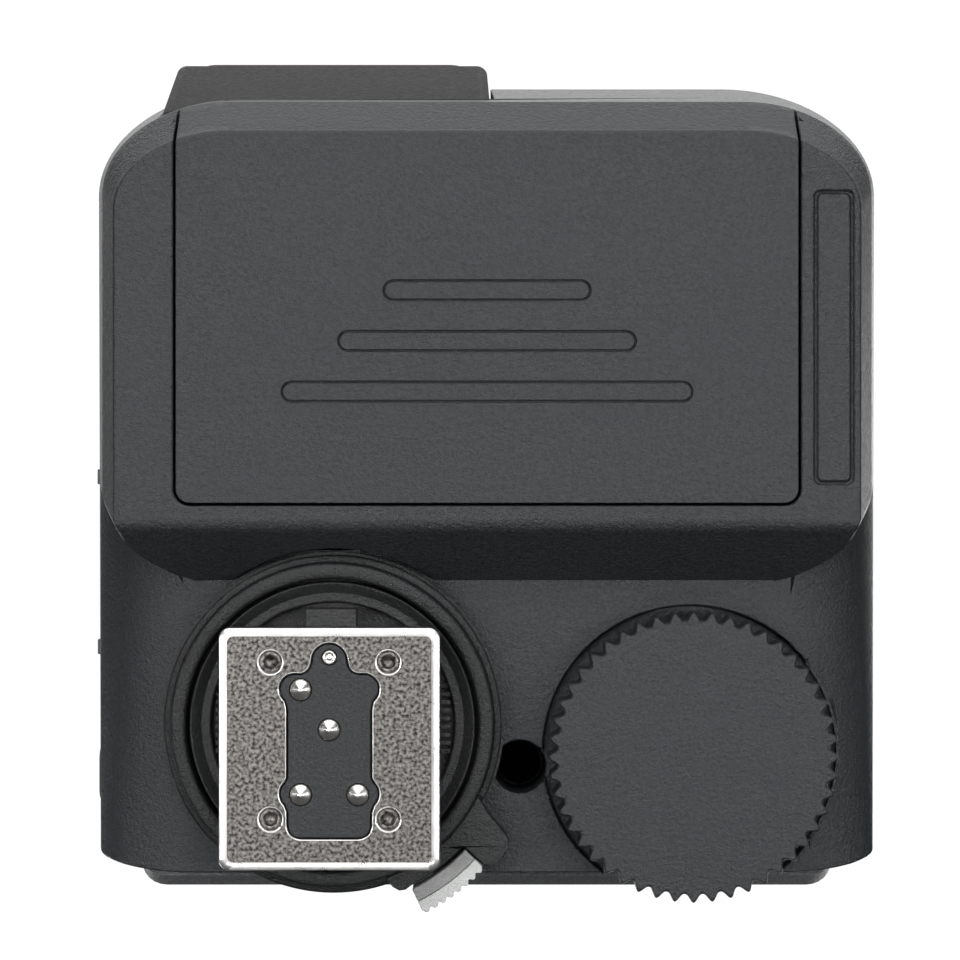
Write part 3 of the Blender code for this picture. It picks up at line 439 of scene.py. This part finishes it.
def smooth(obj, width=0.12, segments=2, angle=40.0, clamp=True, creases=False):
    """Clean shading with fine bevels, as modifiers; creases keeps the marked edges sharp."""
    obj.data.shade_smooth()
    weld = obj.modifiers.new("Weld", "WELD")
    weld.merge_threshold = 0.000002
    if width:
        bevel = obj.modifiers.new("Bevel", "BEVEL")
        bevel.width = width * MM
        bevel.segments = segments
        bevel.limit_method = "ANGLE"
        bevel.angle_limit = math.radians(angle)
        bevel.use_clamp_overlap = clamp
    normals = obj.modifiers.new("WeightedNormal", "WEIGHTED_NORMAL")
    normals.keep_sharp = creases


def tidy_faces(obj):
    """Merges flat neighbouring faces, so that bevels and shading see clean edges."""
    bm = bmesh.new()
    bm.from_mesh(obj.data)
    bmesh.ops.remove_doubles(bm, verts=bm.verts, dist=0.000004)
    limit = math.radians(0.4)
    bmesh.ops.dissolve_limit(bm, angle_limit=limit, verts=bm.verts, edges=bm.edges)
    bm.to_mesh(obj.data)
    bm.free()


def merge_level_faces(obj):
    """Joins the triangles of the level faces, so that no thin ones show in the shading."""
    bm = bmesh.new()
    bm.from_mesh(obj.data)
    bmesh.ops.remove_doubles(bm, verts=bm.verts, dist=0.000004)
    bm.normal_update()
    level = []
    for edge in bm.edges:
        faces = edge.link_faces
        if len(faces) == 2 and all(abs(face.normal.z) > 0.99999 for face in faces):
            level.append(edge)
    bmesh.ops.dissolve_limit(bm, angle_limit=math.radians(0.4), verts=[], edges=level)
    bm.to_mesh(obj.data)
    bm.free()


def place(obj, body, slot_name, *nodes, material=None, clamp=True, **finish):
    """Finishes a piece that stands for some CAD nodes and moves with their body."""
    if clamp:
        tidy_faces(obj)
    obj.data.materials.clear()
    obj.data.materials.append(material or MATERIALS[slot_name])
    smooth(obj, clamp=clamp, **finish)
    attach(obj, body)
    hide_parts(*nodes)
    DONE.update(nodes)
    return obj


DONE = set()

# The CAD's own dimensions, in millimetres
FOOT_WIDTH = 18.6
FOOT_LENGTH = 20.4
CONTACT_PLACES = [(0.0, 1.65), (2.4, 5.0), (2.4, -3.8), (-2.4, -3.8)]
LOCK_PIN_PLACE = (0.0, 7.7)
FOOT_SCREW_PLACES = [(4.95, 7.3), (4.95, -5.9), (-4.95, 7.3), (-4.95, -5.9)]
RING_CENTRE = (0.0, 1.65)
RECESS_RADIUS = 15.1
WHEEL_CENTRE = (-30.9, -1.1)
WHEEL_TEETH = 48
WALL = 1.6
BODY_X = -13.25
BODY_REAR = -11.5
BODY_FRONT = 59.0
HUMP_Z = 3.0
HUMP_HALF = 31.85
HUMP_REAR = 13.8
HUMP_FRONT = 52.4
LIP_Y = 55.2
LIP_Z = 7.0
LIP_HALF = 33.2
FLOOR_Z = 8.5
PARTING_REAR_Z = 13.3
PARTING_FRONT_Z = 26.8
PARTING_HALVES = (34.2, 35.85)
PARTING_CORNER = (14.0, 10.0)
SCREW_WELL = (-16.1, -2.3)
DOOR_X = (-39.7, 13.2)
DOOR_REAR = 20.65
DOOR_THICKNESS = 1.5
DOOR_CORNER = 1.2
BLOCK_X = (-13.7, 15.15)
BLOCK_REAR = 53.2
BLOCK_FRONT = 60.0
BLOCK_HIGH = 43.5
BLOCK_DRAFT = 0.45
FACE_CORNER = (10.0, 6.8)
LIP_CORNER = (11.0, 8.0)
REAR_CORNER = (8.0, 1.6)
HUMP_CORNER = 8.0

# Finer shaping of the same pieces, which the CAD does more plainly or not at all
FACE_EDGE = 0.35
FILLET_WIDTH = 9.7
HUMP_CORNER_GROWTH = 1.6  # at 1.65 the housing's cut came out empty
REAR_SLOPE = 49.5
REAR_EDGE_Y = 18.6
SLOPE_ROUNDING = 1.7
RUN_OUT_DEGREES = 4
WHEEL_PAD_RADIUS = 12.85
WHEEL_RECESS_RADIUS = WHEEL_PAD_RADIUS - 0.05
WHEEL_RECESS_Z = 9.5
TOOTH_ROOT = 11.69
TOOTH_HEIGHT = 0.735
TOOTH_POWER = 1.3

PAST_FRONT = 75.0  # a Y beyond the body, where outlines that run out past it end


# ---------------------------------------------------------------- lower housing and door


def parting_height(y):
    climb = (PARTING_FRONT_Z - PARTING_REAR_Z) / (BODY_FRONT - BODY_REAR)
    return PARTING_REAR_Z + climb * (y - BODY_REAR)


def body_loop(halves, front, front_radii, height, inset=0.0):
    """One horizontal section of the body, from its half widths at the rear and the front."""
    rear_half, front_half = halves[0] - inset, halves[1] - inset
    rx, ry = front_radii[0] - inset, front_radii[1] - inset
    rear_rx, rear_ry = REAR_CORNER
    y0, y1 = BODY_REAR + inset, front - inset
    half = arc((rear_half - rear_rx, y0 + rear_ry), (rear_rx, rear_ry), -90, 0, 18)
    half += arc((front_half - rx, y1 - ry), (rx, ry), 0, 90, 28)
    outline = half + [(-x, y) for x, y in reversed(half)]
    return [(BODY_X + x, y, height(y)) for x, y in outline]


def lower_blank(name, inset, lift):
    """The lower body before its rear half is thinned, up to the parting plane plus lift."""
    face = (HUMP_HALF, HUMP_HALF)
    lip = (LIP_HALF, LIP_HALF)
    corner = FACE_CORNER
    base = HUMP_Z + inset
    loops = []
    if inset == 0.0:
        for turn in (90, 75, 60, 45, 30, 15, 0):
            a = math.radians(turn)
            edge = FACE_EDGE * (1 - math.cos(a))
            level = lambda y, e=FACE_EDGE * (1 - math.sin(a)): base + e
            loops.append(body_loop(face, HUMP_FRONT, corner, level, edge))
    else:
        loops.append(body_loop(face, HUMP_FRONT + 0.5 * inset, corner, lambda y: base, inset))
    loops.append(body_loop(lip, LIP_Y, LIP_CORNER, lambda y: LIP_Z + 0.3 * inset, inset))
    parting = lambda y: parting_height(y) + lift
    loops.append(body_loop(PARTING_HALVES, BODY_FRONT, PARTING_CORNER, parting, inset))
    return loft(name, loops, cuts=1 if inset else 6)


def rear_core(name, inset):
    """What stays of the thin rear half: a flat floor with wide elliptical side fillets."""
    loops = []
    for y in (BODY_REAR - 18.0, BODY_REAR + 52.0):
        along = (y - BODY_REAR) / (BODY_FRONT - BODY_REAR)
        half = PARTING_HALVES[0] + (PARTING_HALVES[1] - PARTING_HALVES[0]) * along
        side = half + 0.35 - inset
        rise = parting_height(y) + 0.4 - FLOOR_Z
        floor = FLOOR_Z + inset
        centre = (side - FILLET_WIDTH, floor + rise)
        right = arc(centre, (FILLET_WIDTH, rise), -90, 0, 32)
        right.append((side, 45.0))
        section = right + [(-x, z) for x, z in reversed(right)]
        loops.append([(BODY_X + x, y, z) for x, z in section])
    return loft(name, loops, cuts=1 if inset else 40)


def hump_core(name, inset):
    """What stays of the battery hump: its rounded plan with the sloping rear face taken off."""
    half = HUMP_HALF + 0.35 - inset
    rear = HUMP_REAR + inset

    def loop(z, grow):
        x = (BODY_X - half - grow, BODY_X + half + grow)
        radius = HUMP_CORNER + HUMP_CORNER_GROWTH * grow
        outline = rounded_rectangle(x, (rear, PAST_FRONT), radius, 20)
        return [(px, py, z) for px, py in outline]

    levels = [loop(-6.0, -1.0), loop(HUMP_Z, 0.0), loop(LIP_Z, 1.4), loop(20.0, 3.8)]
    core = loft(name, levels, cuts=1 if inset else 8)
    slope = math.radians(REAR_SLOPE)
    rounding = SLOPE_ROUNDING
    centre = (
        REAR_EDGE_Y + inset / math.sin(slope) + (rounding - inset) * math.tan(slope / 2),
        HUMP_Z + inset + rounding,
    )
    # The arc stops short of level, and a line at that tilt runs out through the flat face,
    # so that no edge of the cut lies exactly in it.
    edge = arc(centre, rounding, -90 - RUN_OUT_DEGREES, -90 - REAR_SLOPE, 10)
    run_out = (edge[0][0] + 20.0, edge[0][1] - 20.0 * math.tan(math.radians(RUN_OUT_DEGREES)))
    foot = (edge[-1][0] - 40.0 * math.cos(slope), edge[-1][1] + 40.0 * math.sin(slope))
    profile = [run_out, *edge, foot, (-80.0, foot[1]), (-80.0, -40.0), (run_out[0], -40.0)]
    sides = [[(x, y, z) for y, z in profile] for x in (-90.0, 60.0)]
    wedge = loft(name + "_wedge", sides, cuts=1 if inset else 30)
    return carve(core, wedge)


def lower_solid(name, inset, lift):
    """The lower body's outer shape, or with an inset and a lift the hollow inside it."""
    body = lower_blank(name, inset, lift)
    waste = box(name + "_waste", (-70.0, 45.0), (-25.0, 30.0), (-5.0, 24.0))
    carve(waste, rear_core(name + "_rear", inset))
    carve(waste, hump_core(name + "_hump", inset))
    pad_z = (FLOOR_Z + 0.3 + inset, PARTING_REAR_Z)
    carve(waste, cylinder(name + "_pad", WHEEL_CENTRE, WHEEL_PAD_RADIUS - inset, pad_z, 144))
    return carve(body, waste)


def door_outline(grow):
    """The battery door's plan, rounded at the rear and running out past the front."""
    x0, x1 = DOOR_X[0] - grow, DOOR_X[1] + grow
    y = DOOR_REAR - grow
    r = DOOR_CORNER + grow
    outline = arc((x0 + r, y + r), r, 180, 270, 10)
    outline += arc((x1 - r, y + r), r, 270, 360, 10)
    return outline + [(x1, PAST_FRONT), (x0, PAST_FRONT)]


def bar_outline(length, y, width):
    """A grip bar with round ends, centred on the door."""
    middle = sum(DOOR_X) / 2
    reach = length / 2 - 0.7
    outline = arc((middle + reach, y), width / 2, -90, 90, 14)
    return outline + arc((middle - reach, y), width / 2, 90, 270, 14)


def block_solid(name, grow):
    """The lamp block, drawn in slightly towards its front."""
    profile = [
        (BLOCK_REAR - grow, 8.4 - grow),
        (54.5 + 0.4 * grow, 8.4 - grow),
        (BLOCK_FRONT + grow, 18.7 - 0.4 * grow),
        (BLOCK_FRONT + grow, BLOCK_HIGH - 1.5),
        (BLOCK_FRONT - 3.2 + grow, BLOCK_HIGH + grow),
        (BLOCK_REAR - grow, BLOCK_HIGH + grow),
    ]
    loops = []
    for x, sign in zip(BLOCK_X, (-1, 1)):
        loop = []
        for y, z in profile:
            along = (y - BLOCK_REAR) / (BLOCK_FRONT - BLOCK_REAR)
            loop.append((x + sign * (grow - BLOCK_DRAFT * along), y, z))
        loops.append(loop)
    return loft(name, loops)


def make_lower_housing():
    housing = lower_solid("housing_shell", 0.0, 0.0)
    carve(housing, lower_solid("hollow", WALL, 4.0))
    join(housing, cylinder("boss", SCREW_WELL, 3.3, (9.0, 16.1)))
    cutters = [
        plate("opening", [door_outline(0.24)], (-1.0, LIP_Z + 0.4)),
        cylinder("recess", RING_CENTRE, RECESS_RADIUS, (-5.0, FLOOR_Z), 160),
        cylinder("neck", RING_CENTRE, 7.8, (FLOOR_Z - 2.0, FLOOR_Z + 4.0)),
        cylinder("shaft", WHEEL_CENTRE, 3.4, (5.0, 14.0)),
        cylinder("wheel_recess", WHEEL_CENTRE, WHEEL_RECESS_RADIUS, (0.0, WHEEL_RECESS_Z), 144),
        cylinder("well", SCREW_WELL, 2.3, (5.0, 14.9), 72),
        cylinder("shank", SCREW_WELL, 1.2, (10.0, 20.0)),
        block_solid("front", 0.3),
    ]
    label = []
    for inset in (0.0, 0.28):
        x, y = (-44.4 + inset, -41.04 - inset), (22.2 + inset, 47.2 - inset)
        label.append(rounded_rectangle(x, y, 0.6 - 0.5 * inset, 6))
    cutters.append(plate("label", label, (0.0, HUMP_Z + 0.2)))
    for cutter in cutters:
        carve(housing, cutter)
    merge_level_faces(housing)
    housing.data.set_sharp_from_angle(angle=math.radians(25))
    finish = {"width": 0.14, "angle": 60.0, "clamp": False, "creases": True}
    place(housing, "housing", "charcoal_plastic", "bottom_housing", **finish)


def make_door():
    """The sliding cover, with three flush bars outlined by a fine groove."""
    door = plate("sliding_door", [door_outline(0.0)], (-1.0, LIP_Z))
    carve(door, lower_blank("face", 0.0, 0.0), "INTERSECT")
    carve(door, lower_blank("inside", DOOR_THICKNESS, 0.0))
    for length, y in ((17.3, 38.7), (25.0, 34.4), (34.6, 30.1)):
        outlines = [bar_outline(length, y, 1.84), bar_outline(length, y, 1.44)]
        carve(door, plate("groove", outlines, (HUMP_Z - 1.0, HUMP_Z + 0.4)))
    place(door, "battery_door", "charcoal_plastic", "battery_door", width=0.05, clamp=False)


def make_lamp_block():
    block = block_solid("lamp_block", 0.0)
    bevel = block.modifiers.new("Round", "BEVEL")
    bevel.width = 2.6 * MM
    bevel.segments = 12
    bevel.limit_method = "ANGLE"
    bevel.angle_limit = math.radians(35)
    carve(block, box("hollow", (-11.4, 12.9), (50.0, 58.3), (20.0, 41.0)))
    carve(block, plate_front("opening", (-11.2, 12.7), (20.8, 40.6), (57.0, 64.0)))
    place(block, "housing", "charcoal_plastic", "af_housing", width=0.1, material=BLOCK_PLASTIC)
    window = plate_front("lamp_cover", (-11.0, 12.5), (21.0, 40.4), (58.8, 60.5))
    place(window, "housing", "lamp_window", "af_window", width=0.35, segments=4)


def plate_front(name, x, z, y):
    """A rounded plate that faces +Y."""
    outline = rounded_rectangle(x, z, 1.2, 8)
    return loft(name, [[(px, level, pz) for px, pz in outline] for level in y])


# ---------------------------------------------------------------- foot and contacts


def foot_loop(inset, z):
    x = (-FOOT_WIDTH / 2 + inset, FOOT_WIDTH / 2 - inset)
    y = (-FOOT_LENGTH / 2 + inset, FOOT_LENGTH / 2 - inset)
    return [(px, py, z) for px, py in rounded_rectangle(x, y, 0.9 - 0.5 * inset, 8)]


def insert_loop(inset, z):
    return [(x, y, z) for x, y in insulator_outline(inset)]


def make_foot():
    loops = [foot_loop(0.72, 0.0), foot_loop(0.1, 0.13), foot_loop(0.03, 0.2)]
    loops += [foot_loop(0.0, 0.32), foot_loop(0.0, 1.85), foot_loop(0.15, 2.0)]
    foot = loft("foot_metal", loops)
    carve(foot, plate("hole", [insulator_outline(0.0)], (-1.0, 3.0)))
    carve(foot, loft("hole_edge", [insert_loop(-0.22, -0.08), insert_loop(0.02, 0.16)]))
    for place_xy in FOOT_SCREW_PLACES:
        carve(foot, cone("sink", place_xy, (1.12, 0.75), (-0.02, 1.2)))
        carve(foot, cylinder("bore", place_xy, 0.75, (1.0, 3.0)))
    place(foot, "housing", "nickel_plate", "foot_plate", width=0.0)
    # The chamfer faces get the near-white copy of the plate metal: a painted highlight on the
    # edges.
    foot.data.materials.append(PAINTED_HIGHLIGHT_METAL)
    for face in foot.data.polygons:
        if -0.995 < face.normal.z < -0.2:
            face.material_index = 1


def make_foot_screws():
    profile = [
        (0.0, 7.6), (0.55, 7.6), (0.55, 1.2), (0.9, 0.34), (0.88, 0.2), (0.78, 0.12),
        (0.64, 0.12), (0.56, 0.2), (0.5, 0.34), (0.46, 0.75), (0.0, 0.8),
    ]
    for i, xy in enumerate(FOOT_SCREW_PLACES):
        screw = turned(f"foot_fixing_{i + 1}", xy, profile, 40)
        place(screw, "housing", "steel", f"foot_screw_{i + 1}", width=0.0, material=SPECKLED)


def make_insert():
    loops = [insert_loop(0.18, 0.0), insert_loop(0.1, 0.1), insert_loop(0.1, 2.1)]
    insert = loft("contact_insert", loops)
    for xy in CONTACT_PLACES:
        carve(insert, cylinder("bore", xy, 0.97, (-1.0, 3.0)))
    carve(insert, cylinder("bore", LOCK_PIN_PLACE, 0.68, (-1.0, 3.0)))
    finish = {"width": 0.04, "material": INSERT_PLASTIC}
    place(insert, "housing", "black_plastic", "foot_insulator", **finish)


def make_pins():
    shank = [(0.0, 6.0), (0.5, 6.0), (0.5, 3.6), (1.2, 3.6), (1.2, 2.5), (0.9, 2.5), (0.9, -0.04)]
    tip = [(0.86, -0.13), (0.78, -0.19), (0.6, -0.3), (0.4, -0.42), (0.22, -0.53), (0.12, -0.58)]
    for i, xy in enumerate(CONTACT_PLACES):
        pin = turned(f"sprung_contact_{i + 1}", xy, shank + tip + [(0.0, -0.6)], 48)
        place(pin, f"contact_pin_{i + 1}", "bright_pin", f"contact_pin_{i + 1}", width=0.0)
    profile = [
        (0.0, 6.6), (0.62, 6.6), (0.62, 0.12), (0.58, 0.0), (0.5, -0.05), (0.4, -0.05),
        (0.34, 0.05), (0.26, 0.05), (0.18, -0.03), (0.0, -0.05),
    ]
    lock = turned("locking_pin", LOCK_PIN_PLACE, profile, 40)
    place(lock, "lock_pin", "bright_pin", "lock_pin", width=0.0)


# ---------------------------------------------------------------- collar, lock ring and wheel


def make_collar():
    profile = [
        (0.0, 12.0), (7.5, 12.0), (7.5, 8.2), (14.75, 8.2), (14.75, 7.5), (12.25, 7.5),
        (12.25, 5.15), (12.15, 5.02), (12.0, 5.05), (11.35, 5.75), (11.2, 5.85), (10.65, 5.85),
        (10.5, 5.95), (10.4, 6.2), (10.35, 7.0), (0.0, 7.0),
    ]
    collar = turned("fixed_collar", RING_CENTRE, profile, 128)
    join(collar, box("neck", (-6.1, 6.1), (-8.8, 9.6), (2.3, 8.0)))
    join(collar, box("tab", (-2.1, 2.1), (8.0, 11.6), (3.2, 8.0)))
    for side in (-1, 1):
        x = sorted((side * 9.2, side * 10.1))
        for i in range(9):
            y = -0.9 + 0.7 * i
            join(collar, box("tooth", x, (y, y + 0.36), (6.3, 7.4)))
    for xy in CONTACT_PLACES:
        carve(collar, cylinder("well", xy, 1.5, (-1.0, 7.0), 24))
    carve(collar, cylinder("well", LOCK_PIN_PLACE, 0.95, (-1.0, 9.0), 24))
    for xy in FOOT_SCREW_PLACES:
        carve(collar, cylinder("well", xy, 0.8, (-1.0, 8.0), 20))
    place(collar, "housing", "black_plastic", "mount_collar", width=0.06, material=COLLAR_PLASTIC)


def lever_outline():
    """The lock lever's flat arm: a blunt thumb tab, a seat for the pad and a small horn."""
    points = [polar(12.9, 20.0), polar(13.9, 26.0), polar(15.2, 29.3), polar(17.5, 32.1)]
    points += [polar(18.1, 33.2), polar(18.4, 34.6), polar(18.5, 36.4), polar(18.5, 40.0)]
    points += [polar(18.45, 41.4), polar(18.1, 42.3), polar(17.6, 42.7), polar(15.5, 42.7)]
    points += [polar(15.3, 43.4 + i * 2.0) for i in range(11)]
    points += [polar(15.45, 66.0), polar(15.3, 68.0), polar(14.8, 69.6), polar(12.9, 72.0)]
    points += [polar(12.9, 72.0 - i * 4.3) for i in range(1, 12)]
    return points


def make_ring():
    profile = [
        (12.5, 7.2), (14.5, 7.2), (14.5, 5.95), (14.4, 5.8), (14.0, 5.72), (13.86, 5.6),
        (13.85, 4.6), (13.75, 4.4), (13.55, 4.3), (12.8, 4.3), (12.6, 4.4), (12.5, 4.6),
    ]
    ring = turned("turning_ring", RING_CENTRE, profile, 160, closed=True)
    join(ring, plate("lever", [lever_outline()], (4.8, 7.0)))
    finish = {"width": 0.14, "segments": 3, "clamp": False}
    place(ring, "lock_ring", "black_plastic", "lock_ring", material=RING_PLASTIC, **finish)


def make_pad():
    """The pale ribbed grip: a grey base band and a white ribbed rim."""
    start, end, ribs = 43.2, 64.0, 8
    outer = []
    for i in range(ribs * 10 + 1):
        degrees = start + (end - start) * i / (ribs * 10)
        wave = 0.5 + 0.5 * math.cos(2 * math.pi * i / 10)
        outer.append(polar(17.9 - 0.3 * wave ** 1.5, degrees))
    band = [polar(16.75, start + (end - start) * i / 20) for i in range(20, -1, -1)]
    inner = [polar(15.6, start + (end - start) * i / 20) for i in range(20, -1, -1)]
    pad = plate("grip_rim", [outer + band], (4.2, 7.1))
    place(pad, "lock_ring", "light_grey_plastic", "lever_grip_pad", width=0.16, segments=3)
    base = plate("grip_base", [list(reversed(band)) + inner], (4.45, 7.1))
    place(base, "lock_ring", "light_grey_plastic", "lever_grip_pad", width=0.1, material=GRIP_BASE)


def wheel_loop(inset, z):
    """Round teeth and valleys: a slightly pointed cosine from the root to the tip radius."""
    steps = 14
    points = []
    for i in range(WHEEL_TEETH * steps):
        height = (1 + math.cos(2 * math.pi * i / steps)) / 2
        radius = TOOTH_ROOT + TOOTH_HEIGHT * height ** TOOTH_POWER - inset
        turn = 2 * math.pi * i / (WHEEL_TEETH * steps)
        x = WHEEL_CENTRE[0] + radius * math.cos(turn)
        points.append((x, WHEEL_CENTRE[1] + radius * math.sin(turn), z))
    return points


def make_wheel():
    rims = [(0.3, 4.2), (0.2, 4.22), (0.08, 4.3), (0.0, 4.45)]
    rims += [(0.0, 7.95), (0.08, 8.12), (0.2, 8.2)]
    wheel = loft("toothed_wheel", [wheel_loop(inset, z) for inset, z in rims])
    carve(wheel, cylinder("bore", WHEEL_CENTRE, 3.3, (5.2, 12.0)))
    place(wheel, "thumb_wheel", "charcoal_plastic", "thumb_wheel", width=0.0)


# ---------------------------------------------------------------- the CAD nodes that stay


def dress_cad_nodes():
    """Every CAD node that stays gets its slot's material, fine bevels and clean shading."""
    slots = {row["node"]: row["material_slot"] for row in frame["record"]["subparts"]}
    for name, obj in NODES.items():
        obj.data.materials.clear()
        obj.data.materials.append(MATERIALS[slots[name]])
        if name not in DONE:
            smooth(obj)
    # The display panel's faces that don't face +Z get the lighter grey: painted light reflected
    # from the rear.
    panel = NODES["display_panel"]
    panel.data.materials.append(PANEL_LIP_PAINTED_LIGHT)
    for face in panel.data.polygons:
        if face.normal.z < 0.6:
            face.material_index = 1


SPECKLED = MATERIALS["nickel_plate"]
# A near-white copy of the foot plate's metal for its chamfers: a painted highlight where the edges
# catch the light.
PAINTED_HIGHLIGHT_METAL = metal("painted_highlight_edge", (0.95, 0.94, 0.92), 0.3, 3000.0, 0.1, 0.03)
INSERT_PLASTIC = moulded("insert_plastic", (0.027, 0.029, 0.031), 0.45)
COLLAR_PLASTIC = moulded("collar_plastic", (0.030, 0.031, 0.032), 0.38)
RING_PLASTIC = moulded("ring_plastic", (0.0125, 0.0135, 0.0145), 0.38)
GRIP_BASE = moulded("grip_base", (0.30, 0.305, 0.30), 0.5, spread=0.1)
# A lighter grey for the display panel's lip and sides: painted light, standing in for light
# reflected from the rear.
PANEL_LIP_PAINTED_LIGHT = moulded("panel_lip_painted_light", (0.15, 0.155, 0.16), 0.4)
BLOCK_PLASTIC = moulded("block_plastic", (0.008, 0.008, 0.009), 0.62)

make_camera()
make_lights()
make_world()
make_floor()
make_lower_housing()
make_door()
make_lamp_block()
make_foot()
make_foot_screws()
make_insert()
make_pins()
make_collar()
make_ring()
make_pad()
make_wheel()
dress_cad_nodes()
